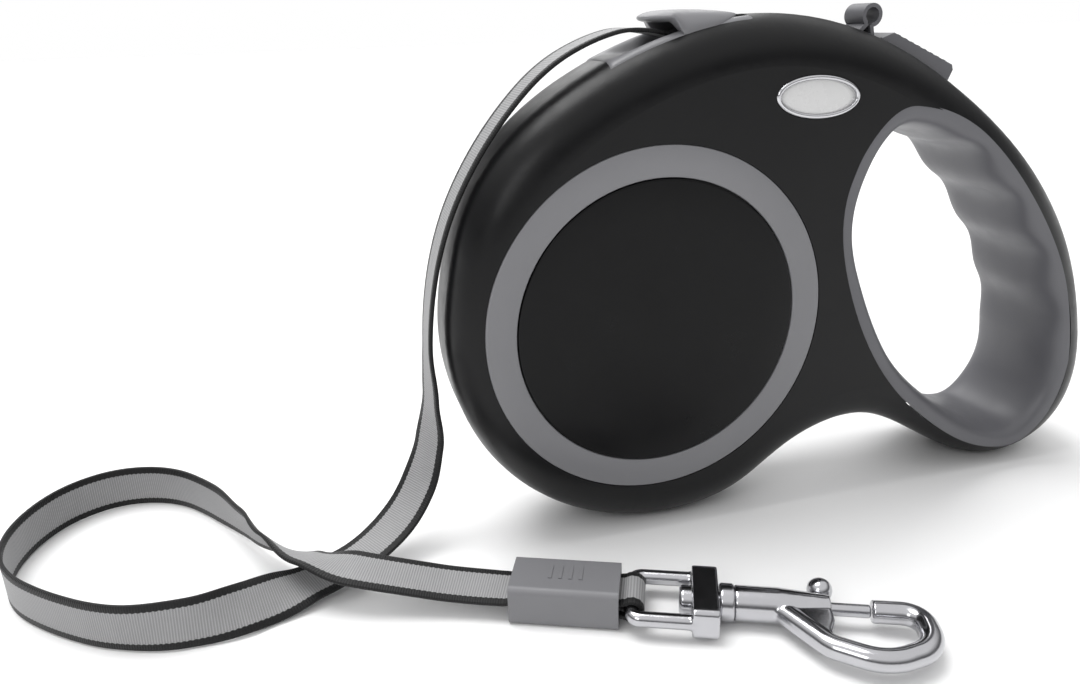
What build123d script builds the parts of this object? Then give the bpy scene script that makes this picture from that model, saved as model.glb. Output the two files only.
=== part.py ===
from build123d import *
from math import acos, atan2, cos, degrees, hypot, pi, radians, sin, sqrt, tan
import os

# Retractable tape leash. Millimetres, +Z up, +X from the tape outlet towards the handle.
# The origin lies on the surface that the casing stands on, below the middle of the casing.
# The casing's seam is the plane Y = 0: the left half is at -Y and the right half at +Y.

# ---- casing ----
CASING_W = 34.0             # overall width, across the seam
EDGE_ROUND = 12.0           # rounding from the side faces to the rim
WALL = 2.4                  # casing wall
BODY_R = 57.0               # round body
BODY_X = -41.0              # its centre, along X
FOOT_CUT = 0.15             # depth of the two small flats that it stands on
HEEL_R = 27.0               # round heel of the handle
HEEL_X = 71.0
# points that the back and top of the casing pass through, from the body to the heel
BACK_POINTS = [(-95, 79), (-82.5, 103.5), (-52.5, 124), (-20, 132.2), (12, 127.8), (42.5, 112.5),
               (70.5, 89.5), (87.5, 65.5), (95.6, 44)]
# points of the hollow between the heel and the round body
ARCH_POINTS = [(47, 8.8), (20, 20.8)]

# ---- handle opening ----
# points that the opening's edge passes through
RIM_POINTS = [(24, 109.2), (44, 102.3), (64.8, 82.7), (81, 57.8), (88, 30), (82.6, 13.6), (70, 6.2),
              (49.5, 12.8), (24.1, 34.8), (9.1, 63.1), (5.4, 83), (12.2, 102)]
GRIP_CREST = 6.4            # how far the liner stands into the opening
GRIP_ROUND = 5.2            # rounding of the liner's crest
GRIP_W = CASING_W - 0.6     # liner's width
OPENING_WALL = 2.2          # casing wall round the opening
FINGER_PITCH = 19.0         # from one finger groove to the next
FINGER_DEPTH = 1.7
FINGER_POINTS = [(84.5, 47.5), (76.2, 66.5), (63.8, 83.8), (48.3, 98.5)]

# ---- reel ----
REEL_X = -45.0
REEL_Z = 59.0
AXLE_R = 4.0
RUNNING = 0.05              # radial running clearance
FIT = 0.2                   # clearance round pieces that don't move
DRUM_R = 22.0               # inner radius of the wound tape
DRUM_WALL = 2.0
FLANGE_R = 46.9
FLANGE_T = 1.5
TOOTH_TIP_R = 49.0
TEETH = 24
TOOTH_SHARE = 0.40          # share of the pitch that a tooth takes
BUSH_R = 7.0
BUSH_L = 2.5                # length of the bushes outside the flanges
WASHER_T = 0.5
SPRING_TURNS = 6
SPRING_T = 0.5
SPRING_IN_R = 5.5

# ---- tape ----
TAPE_W = 12.0
TAPE_T = 1.1
TAPE_LENGTH = 5000.0        # whole length of the tape
TAPE_GAP = 0.4              # from the tape's edge to the flange
# the route of the tape outside the casing, from the outlet to the sleeve
ROUTE = [(-36.5, 0, 127.6), (-46.5, 0, 130.3), (-58, 0, 127.8), (-69.5, 0, 122), (-79.5, 0, 112.3),
         (-88.5, 0, 100.3), (-95.4, 0, 87.2), (-99.8, 0, 72.5), (-102, 0, 56.5), (-101.8, 0.3, 41),
         (-103, -0.2, 28), (-107.2, -1.5, 16.6), (-114, -5.5, 8.9), (-124.5, -12, 4.6), (-136.5, -17.2, 3.4),
         (-149.8, -25.2, 5.4), (-164.6, -29.4, 6.3), (-181, -26, 6.3), (-196.8, -14.6, 6.3), (-208.6, -2, 6.3),
         (-212.9, 12.5, 6.3), (-210.2, 27.5, 6.3), (-202.5, 39.5, 6.3), (-189.5, 45.2, 6.3),
         (-174.2, 40.8, 6.3), (-162, 26, 6.5), (-152.5, 8.2, 7.2), (-145.8, -6.5, 9.2), (-137.6, -16.6, 10),
         (-127.2, -24, 9.6), (-114.5, -28.4, 7.2), (-101.79, -32.83, 5), (-90.85, -37.7, 5)]
FEED_GAP = 1.6              # between the modelled tape inside and outside the mouth
BEND_SHARE = 0.45           # share of the shorter run that an arc takes on each side of its corner

# ---- side trims ----
RING_OUT_R = 45.0
RING_IN_R = 37.1
TRIM_T = 1.2
TRIM_FIT = 0.1

# ---- badge ----
BADGE_AT = (-4.7, 112.8)
BADGE_A = 11.6              # half length and half height, over the bezel
BADGE_B = 5.3
BADGE_TILT = -2.7
BEZEL_W = 0.9
BADGE_T = 1.0

# ---- tape outlet ----
OUTLET_W = 20.0
SLOT_W = 13.4
# side view of the outlet: tongue, mouth, hooded lip, then back under the casing's skin; and of its slot
OUTLET_SIDE = [(-55, 122.4), (-47, 124.8), (-43.2, 125), (-42.8, 132.3), (-41.4, 133.3), (-36, 133.7),
               (-27, 133.2), (-20, 132.3), (-21, 116.5), (-31, 114), (-46, 118.5)]
SLOT_SIDE = [(-46, 125), (-39, 124.6), (-31.2, 113), (-22.5, 113), (-31, 131.3), (-46, 131.6)]
GUIDE_PIN_R = 1.0
GUIDE_PIN_ALONG = (7.5, 12.5)   # where the guide pins stand along the tape, on its two sides
PAIR_GAP = 0.3

# ---- bag loop ----
LOOP_AT = (16.6, 128.6)     # where its legs meet under the ring
LOOP_TILT = -17.0
LOOP_R = 2.9                # outer radius
LOOP_T = 1.0
LOOP_W = 8.0
LOOP_SPREAD = 2.3           # half distance of its feet
LOOP_ROOT = 3.9             # how far its feet reach below that

# ---- brake ----
BUTTON_AT = (29.5, 120.4)   # on the casing's top
BUTTON_SLOPE = 24.5
BUTTON_REACH = (-11.0, 13.0)    # its two ends, along the slope
BUTTON_W = 12.0
BUTTON_TOP = 2.9            # height over the rim
BUTTON_SKIRT = 1.6          # depth below the rim
BUTTON_FIT = 0.35
PRESS = 3.0                 # travel of the button
WELL_TOP = 8.0              # height of the cut for the button, clear of the casing
LOCK = 2.0                  # travel of the lock
RIBS = 8
RIB_PITCH = 2.3
CARRIER_TOP = -3.6          # depth of the carrier's plate below the casing's top
CARRIER_T = 2.4
CARRIER_REACH = (-10.0, 2.0)
CARRIER_W = 16.0
CARRIER_HEAD = (-7.0, 1.0)
CARRIER_HEAD_TOP = 1.0
CARRIER_HEAD_W = 6.0
FINGER_BOTTOM = -7.1        # depth of the carrier's finger that pushes the pawl
SHELF_Z = 112.2             # seat of the button's spring
SPRING_X = 20.4
SPRING_L = 5.0
PAWL_PIVOT = (-24.0, 111.0)
PAWL_END = (19.8, 114.7)
PAWL_Y = (6.8, 9.8)
PAWL_BAR = 3.6
PAWL_END_T = 1.4            # thickness of the bar under the carrier's finger
PAWL_REST_GAP = 0.4         # pawl tip over the ratchet when the brake is off
PAWL_ANGLE = 41.9           # where the pawl meets the ratchet
PAWL_TIP_W = 3.6
PIVOT_R = 1.5
COIL_WIRE = 0.5

# ---- casing screws ----
SCREW_AT = [(-79.6, 100.2), (3, 122.4), (67.8, 86.3), (93.1, 28), (7.5, 37), (-2.6, 23.6)]
SCREW_R = 1.4
SCREW_HEAD_R = 2.8
SCREW_HEAD_T = 2.0
SCREW_HEAD_Y = CASING_W / 2 - 4.6
SCREW_TIP_Y = -9.0
BOSS_R = 4.3
PIVOT_BOSS_R = 3.0

# ---- swivel hook ----
BAR_AT = (-64.8, -49.3)     # middle of the bar that the tape is sewn round
HOOK_HEADING = -24.0        # direction of the hook, from +X
AXIS_H = 5.0                # height of the hook's axis
BAR_R = 1.8
LOOP_PLAY = 0.08            # between the bar and the tape round it
RAIL_V = 8.0
BLOCK_U = (13.6, 19.6)
BLOCK_V = 9.5
BLOCK_W = 3.8
STUD_R = 2.2
STUD_HEAD_R = 3.4
STUD_HEAD_U = 10.6
STUD_END_U = 27.0
END_PLAY = 0.12
COLLAR_END_U = 23.2
COLLAR_R = 4.4
SHANK_R = 4.1
SHANK_END_U = 33.0
MOUTH_U = 44.4              # face that the bolt comes out of
MOUTH_R = 3.1
BOLT_R = 1.5
BOLT_TIP_U = 53.2
BOLT_REAR_U = 37.5
BOLT_TRAVEL = 7.5
KNOB_U = 43.2
KNOB_V = 6.9
KNOB_R = 2.9
KNOB_STEM_R = 1.0
HOOK_R = 2.6
HOOK_PATH = [(31.5, 0.6), (42.6, -12.8), (53.5, -17.2), (64.6, -11.2), (64.2, 0.1), (53.5, 0.0)]
HOOK_BENDS = [7.0, 11.0, 8.0, 4.6]
SLEEVE_U = (-28.5, -3.0)
SLEEVE_V = 7.0
SLEEVE_W = 5.0
SLEEVE_ROUND = 1.6

HALF = CASING_W / 2
FACE_IN = HALF - WALL


# ---- helpers ----
def side(shape, y0, y1):
    """A face drawn in X and Z, made solid from y0 to y1."""
    return extrude(Plane.XZ.offset(-y0) * shape, amount=y0 - y1)


def drum(x, z, r, y0, y1):
    """A round bar along Y."""
    return side(Pos(x, z) * Circle(r), y0, y1)


def tube_y(x, z, r_out, r_in, y0, y1):
    """A ring along Y."""
    return drum(x, z, r_out, y0, y1) - drum(x, z, r_in, y0 - 1, y1 + 1)


def polar(x, z, r, angle):
    return (x + r * cos(radians(angle)), z + r * sin(radians(angle)))


def save(name, shape):
    """Write one node as a STEP file."""
    solids = shape.solids()
    node = solids[0] if len(solids) == 1 else Compound(children=list(solids))
    node.label = name
    export_step(node, os.path.join("parts", name + ".step"))
    print(f"{name:18s} solids {len(solids)}  volume {sum(s.volume for s in solids):10.1f}")


# ---- outlines ----
BODY_Z = BODY_R - FOOT_CUT


def beside(curve, distance, count=48):
    """A smooth closed curve that runs outside another at a distance, which may vary from place to place."""
    points = []
    for k in range(count):
        p = curve @ (k / count)
        t = curve % (k / count)
        d = distance(p) if callable(distance) else distance
        points.append((p.X - t.Y * d, p.Y + t.X * d))
    return Spline(points, periodic=True)


def closed_face(curve):
    return make_face(Curve() + [curve])


def casing_outline():
    heel = [polar(HEEL_X, HEEL_R - FOOT_CUT, HEEL_R, angle) for angle in (0, -30, -60, -90)]
    body = [polar(BODY_X, BODY_Z, BODY_R, angle) for angle in (-47, -65, -90, -120, -150, -180)]
    return Spline(BACK_POINTS + heel + ARCH_POINTS + body, periodic=True)


def rim_outline():
    return Spline(RIM_POINTS, periodic=True)


def rounded_slab(face, half, radius):
    slab = side(face, -half, half)
    flat = slab.edges().filter_by(lambda e: abs(abs(e.center().Y) - half) < 0.01)
    return fillet(flat, radius)


# ---- casing halves ----
OUTLINE = casing_outline()
RIM = rim_outline()


def button_plane():
    """X along the button towards the handle, Y out of the casing, Z towards -Y."""
    slope = radians(BUTTON_SLOPE)
    return Plane(origin=(BUTTON_AT[0], 0, BUTTON_AT[1]), x_dir=(cos(slope), 0, -sin(slope)),
                 z_dir=(0, -1, 0))


def button_box(t0, t1, n0, n1, y0, y1):
    """A block in the button's own directions."""
    face = Pos((t0 + t1) / 2, (n0 + n1) / 2) * Rectangle(t1 - t0, n1 - n0)
    return extrude(button_plane().offset(-y0) * face, amount=y0 - y1)


def casing():
    skin = rounded_slab(closed_face(OUTLINE), HALF, EDGE_ROUND)
    hollow = rounded_slab(closed_face(beside(OUTLINE, -WALL)), FACE_IN, EDGE_ROUND - WALL)
    hollow -= side(closed_face(beside(RIM, OPENING_WALL)), -HALF, HALF)
    body = skin - hollow
    body -= side(closed_face(RIM), -HALF - 1, HALF + 1)
    for x, z in SCREW_AT:
        body += drum(x, z, BOSS_R, -FACE_IN - 0.5, FACE_IN + 0.5) & skin
        body -= drum(x, z, SCREW_R, SCREW_TIP_Y - 1, HALF)
        body -= drum(x, z, SCREW_HEAD_R + FIT, SCREW_HEAD_Y - SCREW_HEAD_T, HALF + 1)
    for s in (-1, 1):
        near, far = sorted((s * (FACE_IN + 0.5), s * (BUSH_Y + WASHER_T)))
        body += tube_y(REEL_X, REEL_Z, BUSH_R, AXLE_R, near, far)
        near, far = sorted((s * (HALF - TRIM_T), s * (HALF + 1)))
        body -= drum(REEL_X, REEL_Z, RING_OUT_R + TRIM_FIT, near, far)
    body += drum(*PAWL_PIVOT, PIVOT_BOSS_R, PAWL_Y[1] + FIT, FACE_IN + 0.5)
    body -= drum(*PAWL_PIVOT, PIVOT_R, 0, FACE_IN)
    shelf = Pos(SPRING_X, 0, SHELF_Z - 0.7) * Box(6, 2 * FACE_IN + 1, 1.4)
    body += shelf & (Pos(SPRING_X, -FACE_IN, SHELF_Z) * Box(10, 2 * FACE_IN - 0.4, 5))
    well = -BUTTON_SKIRT - PRESS - BUTTON_FIT
    body -= button_box(BUTTON_REACH[0] - BUTTON_FIT, BUTTON_REACH[1] + LOCK + BUTTON_FIT, well, WELL_TOP,
                       -BUTTON_W / 2 - BUTTON_FIT, BUTTON_W / 2 + BUTTON_FIT)
    body -= side(outlet_face(), -OUTLET_W / 2, OUTLET_W / 2)
    clear = make_face(Polyline(OUTLET_SIDE[:4] + [(-44, 145), (-62, 135)], close=True))
    body -= side(clear, -OUTLET_W / 2, OUTLET_W / 2)
    body -= side(badge_face(0), -HALF - 1, -HALF + BADGE_T)
    body -= loop_feet(0.05)
    body -= Pos(0, 0, -5) * Box(400, 80, 10)
    return body


def outlet_face():
    return make_face(Polyline(OUTLET_SIDE, close=True))


def outlet(coil_r):
    block = side(outlet_face(), -OUTLET_W / 2, OUTLET_W / 2)
    slot = make_face(Polyline(SLOT_SIDE, close=True))
    block -= side(slot, -SLOT_W / 2, SLOT_W / 2)
    return block - guide_pins(coil_r)


def guide_pins(coil_r):
    """Two pins across the slot, one on each side of the tape."""
    mouth, along = feed_line(coil_r)[:2]
    off = GUIDE_PIN_R + TAPE_T / 2 + PAIR_GAP
    pins = None
    for s, reach in zip((-1, 1), GUIDE_PIN_ALONG):
        x = mouth[0] + reach * along[0] - s * off * along[1]
        z = mouth[1] + reach * along[1] + s * off * along[0]
        pin = drum(x, z, GUIDE_PIN_R, -SLOT_W / 2 - 1.6, SLOT_W / 2 + 1.6)
        pins = pin if pins is None else pins + pin
    return pins


def badge_face(inset):
    return Pos(*BADGE_AT) * Rot(0, 0, BADGE_TILT) * Ellipse(BADGE_A - inset, BADGE_B - inset)


def loop_place(shape):
    return Pos(*LOOP_AT) * Rot(0, 0, LOOP_TILT) * shape


def loop_feet(gap):
    """The two feet that stand in the casing."""
    feet = [Pos(s * LOOP_SPREAD, -(LOOP_ROOT + 2.2) / 2) * Rectangle(1.6 + 2 * gap, LOOP_ROOT - 2.2 + 2 * gap)
            for s in (-1, 1)]
    return side(loop_place(feet[0] + feet[1]), -LOOP_W / 2 - gap, LOOP_W / 2 + gap)


def bag_loop():
    rise = LOOP_R - 0.4
    ring = Pos(0, rise) * (Circle(LOOP_R) - Circle(LOOP_R - LOOP_T)) - Rectangle(1.2, 2.4)
    face = ring
    for s in (-1, 1):
        run = hypot(LOOP_SPREAD - 0.8, 2.6)
        turn = degrees(atan2(-2.6, s * (LOOP_SPREAD - 0.8)))
        face += Pos(s * (LOOP_SPREAD + 0.8) / 2, -1.3) * Rot(0, 0, turn) * Rectangle(run + 0.6, LOOP_T)
    return side(loop_place(face), -LOOP_W / 2, LOOP_W / 2) + loop_feet(0)


# ---- reel ----
FLANGE_IN = TAPE_W / 2 + TAPE_GAP
FLANGE_OUT = FLANGE_IN + FLANGE_T
BUSH_Y = FLANGE_OUT + BUSH_L


def ratchet_face():
    face = Circle(FLANGE_R)
    pitch = 360 / TEETH
    half = pitch * TOOTH_SHARE / 2
    for k in range(TEETH):
        mid = PAWL_ANGLE + pitch / 2 + k * pitch
        tooth = Polyline([polar(0, 0, FLANGE_R - 1, mid - half * 1.3), polar(0, 0, FLANGE_R - 1, mid + half * 1.3),
                          polar(0, 0, TOOTH_TIP_R, mid + half), polar(0, 0, TOOTH_TIP_R, mid - half)], close=True)
        face += make_face(tooth)
    return Pos(REEL_X, REEL_Z) * face


def reel_drum():
    body = side(ratchet_face(), FLANGE_IN, FLANGE_OUT)
    body += drum(REEL_X, REEL_Z, BUSH_R, FLANGE_OUT, BUSH_Y)
    body += tube_y(REEL_X, REEL_Z, DRUM_R, DRUM_R - DRUM_WALL, -FLANGE_IN, FLANGE_IN)
    return body - drum(REEL_X, REEL_Z, AXLE_R + RUNNING, -HALF, HALF)


def reel_flange():
    return tube_y(REEL_X, REEL_Z, FLANGE_R, DRUM_R - DRUM_WALL, -FLANGE_OUT, -FLANGE_IN)


def spring_cover():
    disc = drum(REEL_X, REEL_Z, DRUM_R - DRUM_WALL - TRIM_FIT, -FLANGE_OUT, -FLANGE_IN)
    disc += drum(REEL_X, REEL_Z, BUSH_R, -BUSH_Y, -FLANGE_OUT)
    return disc - drum(REEL_X, REEL_Z, AXLE_R + RUNNING, -HALF, HALF)


def power_spring():
    """A spiral of half rings, whose centres change sides at each half turn."""
    outer = DRUM_R - DRUM_WALL - 1.2
    step = (outer - SPRING_IN_R) / (2 * SPRING_TURNS)
    face = None
    for k in range(2 * SPRING_TURNS):
        r = SPRING_IN_R + k * step
        up = k % 2 == 0
        cx = step / 2 if up else -step / 2
        ring = Circle(r + SPRING_T / 2) - Circle(r - SPRING_T / 2)
        half = ring & (Pos(0, 50 if up else -50) * Rectangle(200, 100))
        piece = Pos(cx, 0) * half
        face = piece if face is None else face + piece
    tail = Pos(-(SPRING_IN_R + AXLE_R) / 2 - step / 4, 0) * Rectangle(SPRING_IN_R - AXLE_R + SPRING_T, SPRING_T)
    face += tail
    return side(Pos(REEL_X, REEL_Z) * face, -FLANGE_IN + 0.5, FLANGE_IN - 0.5)


# ---- tape ----
def bend_radii(points):
    radii = []
    for a, b, c in zip(points, points[1:], points[2:]):
        p, q = Vector(*b) - Vector(*a), Vector(*c) - Vector(*b)
        turn = radians(p.get_angle(q))
        radii.append(BEND_SHARE * min(p.length, q.length) / tan(turn / 2))
    return radii


def tape_strand():
    radii = bend_radii(ROUTE)
    path = FilletPolyline(*ROUTE, radius=radii)
    r = sqrt(TAPE_W * TAPE_T / pi)
    start = Plane(origin=path @ 0, z_dir=path % 0)
    strand = sweep(start * Circle(r), path=path)
    print("tape outside the casing", round(path.length, 1), "mm, radii",
          [round(v, 1) for v in radii])
    print("strand volume", round(strand.volume, 1), "section x length", round(pi * r * r * path.length, 1))
    return strand, path.length


def coil_radius(outside):
    wound = TAPE_LENGTH - outside
    return sqrt(DRUM_R ** 2 + wound * TAPE_T / pi)


def feed_line(coil_r):
    """Mouth of the outlet, direction of the tape inside it, and length to where it leaves the coil."""
    mouth = (ROUTE[0][0], ROUTE[0][2])
    dx, dz = mouth[0] - REEL_X, mouth[1] - REEL_Z
    reach = hypot(dx, dz)
    clear_r = coil_r + TAPE_T / 2 + PAIR_GAP
    angle = degrees(atan2(dz, dx)) - degrees(acos(clear_r / reach))
    touch = polar(REEL_X, REEL_Z, clear_r, angle)
    run = hypot(mouth[0] - touch[0], mouth[1] - touch[1])
    return mouth, ((touch[0] - mouth[0]) / run, (touch[1] - mouth[1]) / run), run


def tape_feed(coil_r):
    """The run of tape from the outlet down to the side of the coil."""
    mouth, along, run = feed_line(coil_r)
    start = FEED_GAP
    mid = (start + run) / 2
    turn = degrees(atan2(along[1], along[0]))
    strip = Pos(mouth[0] + mid * along[0], mouth[1] + mid * along[1]) * Rot(0, 0, turn)
    return side(strip * Rectangle(run - start, TAPE_T), -TAPE_W / 2, TAPE_W / 2)


# ---- brake ----
def brake_button():
    front, rear = BUTTON_REACH
    half = BUTTON_W / 2
    side_view = [(front, -BUTTON_SKIRT), (front, 0.6), (front + 2.4, BUTTON_TOP), (rear - 1, BUTTON_TOP),
                 (rear, BUTTON_TOP - 1), (rear, -BUTTON_SKIRT)]
    plane = button_plane().offset(half)
    cap = extrude(plane * make_face(Polyline(side_view, close=True)), amount=-BUTTON_W)
    cap -= button_box(CARRIER_HEAD[0] - LOCK - FIT, CARRIER_HEAD[1] + FIT, -BUTTON_SKIRT - 1, CARRIER_HEAD_TOP + FIT,
                      -CARRIER_HEAD_W / 2 - FIT, CARRIER_HEAD_W / 2 + FIT)
    for k in range(RIBS):
        t = rear - 2.8 - k * RIB_PITCH
        cap += button_box(t - 0.5, t + 0.5, BUTTON_TOP - 0.2, BUTTON_TOP + 0.5, 1.4 - half, half - 1.4)
    return cap


def brake_carrier():
    bottom = CARRIER_TOP - CARRIER_T
    plate = button_box(*CARRIER_REACH, bottom, CARRIER_TOP, -CARRIER_W / 2, CARRIER_W / 2)
    head = button_box(*CARRIER_HEAD, CARRIER_TOP, CARRIER_HEAD_TOP, -CARRIER_HEAD_W / 2, CARRIER_HEAD_W / 2)
    finger = button_box(-12, -7, FINGER_BOTTOM, CARRIER_TOP - 1, CARRIER_W / 2 - 2, PAWL_Y[1])
    return plate + head + finger


def button_spring():
    return Pos(SPRING_X, -3.4, SHELF_Z) * coil_spring(1.7, SPRING_L, 1.5)


def coil_spring(r, length, pitch):
    """A compression spring, standing along Z from the origin."""
    wire = COIL_WIRE
    helix = Helix(pitch, length - 2 * wire, r)
    section = Plane(origin=helix @ 0, z_dir=helix % 0) * Circle(wire / 2)
    return Pos(0, 0, wire) * sweep(section, path=helix, is_frenet=True)


def pawl_tip():
    return polar(REEL_X, REEL_Z, TOOTH_TIP_R + PAWL_REST_GAP, PAWL_ANGLE)


def brake_pawl():
    px, pz = PAWL_PIVOT
    ex, ez = PAWL_END
    half = PAWL_BAR / 2
    bar = make_face(Polyline([(px, pz - half), (ex, ez + half - PAWL_END_T), (ex, ez + half), (px, pz + half)],
                             close=True))
    tx, tz = pawl_tip()
    ax, az = sin(radians(PAWL_ANGLE)) * PAWL_TIP_W / 2, cos(radians(PAWL_ANGLE)) * PAWL_TIP_W / 2
    arm = make_face(Polyline([(tx - ax, tz + az), (tx + ax, tz - az), (6, pz + 3), (-8, pz + 1.5)], close=True))
    body = side(bar + arm + Pos(px, pz) * Circle(PIVOT_BOSS_R), *PAWL_Y)
    return body - drum(px, pz, PIVOT_R + RUNNING, 0, HALF)


# ---- swivel hook, in its own directions: X along the hook, Y to the left, Z up ----
HOOK_PLACE = Location((BAR_AT[0], BAR_AT[1], AXIS_H), (0, 0, HOOK_HEADING))


def bar_x(r, x0, x1):
    """A round bar along the hook's axis."""
    return extrude(Plane.YZ.offset(x0) * Circle(r), amount=x1 - x0)


def swivel_frame():
    path = FilletPolyline((BLOCK_U[0] + 1, RAIL_V, 0), (0, RAIL_V, 0), (0, -RAIL_V, 0), (BLOCK_U[0] + 1, -RAIL_V, 0),
                          radius=BAR_R + 0.2)
    rails = sweep(Plane(origin=path @ 0, z_dir=path % 0) * Circle(BAR_R), path=path)
    mid = (BLOCK_U[0] + BLOCK_U[1]) / 2
    block = Pos(mid, 0, 0) * Box(BLOCK_U[1] - BLOCK_U[0], 2 * BLOCK_V, 2 * BLOCK_W)
    block = fillet(block.edges().filter_by(Axis.X), 1.6)
    return rails + block - bar_x(STUD_R + RUNNING, BLOCK_U[0] - 3, BLOCK_U[1] + 3)


def swivel_stud():
    head = bar_x(STUD_HEAD_R, STUD_HEAD_U, BLOCK_U[0] - END_PLAY)
    head = fillet(head.edges().sort_by(Axis.X)[:1], 1.0)
    return head + bar_x(STUD_R, BLOCK_U[0] - END_PLAY - 0.5, STUD_END_U)


def swivel_collar():
    ring = bar_x(COLLAR_R, BLOCK_U[1] + END_PLAY, COLLAR_END_U)
    ring = fillet(ring.edges(), 0.7)
    return ring - bar_x(STUD_R, BLOCK_U[1] - 1, COLLAR_END_U + 1)


def hook_body():
    shank = bar_x(SHANK_R, COLLAR_END_U, SHANK_END_U)
    taper = loft([Plane.YZ.offset(SHANK_END_U) * Circle(SHANK_R), Plane.YZ.offset(MOUTH_U) * Circle(MOUTH_R)])
    path = FilletPolyline(*HOOK_PATH, radius=HOOK_BENDS)
    curl = sweep(Plane(origin=path @ 0, z_dir=path % 0) * Circle(HOOK_R), path=path)
    web_face = make_face(Polyline([(33, 3), (36.5, -7), (42.5, -12.6), (MOUTH_U, -6.5), (MOUTH_U, 0)], close=True))
    web = extrude(Plane.XY.offset(-2.2) * web_face, amount=4.4)
    body = shank + taper + curl + web
    body -= bar_x(BOLT_R + RUNNING, STUD_END_U + 0.5, MOUTH_U + 4.2)
    body -= bar_x(STUD_R, COLLAR_END_U - 1, STUD_END_U)
    slot_u = (KNOB_U - BOLT_TRAVEL - KNOB_STEM_R - FIT, MOUTH_U + 1)
    slot = Pos(sum(slot_u) / 2, 5, 0) * Box(slot_u[1] - slot_u[0], 10, 2 * KNOB_STEM_R + 2 * FIT)
    return body - slot


def trigger_bolt():
    bolt = bar_x(BOLT_R, BOLT_REAR_U, BOLT_TIP_U)
    bolt = fillet(bolt.edges().sort_by(Axis.X)[-1:], 0.5)
    stem = extrude(Plane.XZ.offset(0) * (Pos(KNOB_U, 0) * Circle(KNOB_STEM_R)), amount=-KNOB_V)
    return bolt + stem + Pos(KNOB_U, KNOB_V, 0) * Sphere(KNOB_R)


def bolt_spring():
    length = BOLT_REAR_U - STUD_END_U - 0.6
    coil = coil_spring(BOLT_R - COIL_WIRE / 2 - 0.1, length, 2.6)
    return Plane(origin=(STUD_END_U + 0.5, 0, 0), z_dir=(1, 0, 0)) * coil


def tape_sleeve():
    mid = (SLEEVE_U[0] + SLEEVE_U[1]) / 2
    block = Pos(mid, 0, 0) * Box(SLEEVE_U[1] - SLEEVE_U[0], 2 * SLEEVE_V, 2 * SLEEVE_W)
    block = fillet(block.edges().filter_by(Axis.X), SLEEVE_ROUND)
    for k in range(4):
        block += Pos(mid - 3.6 + 2.4 * k, 0.6, SLEEVE_W - 0.1) * Box(0.8, 5.0, 0.6)
    slot = Pos(-13.8, 0, 0) * Box(20.6, TAPE_W + 0.4, 2 * TAPE_T + 0.3)
    mouth = Pos(-4.5, 0, 0) * Box(3.4, TAPE_W + 0.4, 5.2)
    return block - slot - mouth


def tape_end_loop():
    inner = BAR_R + LOOP_PLAY
    outer = inner + TAPE_T
    t = TAPE_T
    skin = Circle(outer) + make_face(Polyline([(0, outer), (-6.2, t + 0.05), (-23.8, t + 0.05), (-23.8, -t - 0.05),
                                               (-6.2, -t - 0.05), (0, -outer)], close=True))
    void = Circle(inner) + make_face(Polyline([(0, inner), (-5.6, 0.05), (-5.6, -0.05), (0, -inner)], close=True))
    return extrude(Plane.XZ.offset(-TAPE_W / 2) * (skin - void), amount=TAPE_W)


def crest_height(p):
    """How far the liner stands inwards, less in the finger grooves of the grip."""
    dip = 0
    for x, z in FINGER_POINTS:
        away = hypot(p.X - x, p.Y - z) / (FINGER_PITCH / 2)
        if away < 1:
            dip += FINGER_DEPTH * (1 + cos(pi * away)) / 2
    return -GRIP_CREST + dip


def handle_grip():
    crest = closed_face(beside(RIM, crest_height, 72))
    hole = side(crest, -GRIP_W / 2, GRIP_W / 2)
    liner = side(closed_face(beside(RIM, -TRIM_FIT)), -GRIP_W / 2, GRIP_W / 2) - hole
    inner = liner.edges().filter_by(lambda e: abs(abs(e.center().Y) - GRIP_W / 2) < 0.01)
    inner = inner.sort_by(lambda e: e.length)[:2]
    return fillet(inner, GRIP_ROUND)


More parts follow.
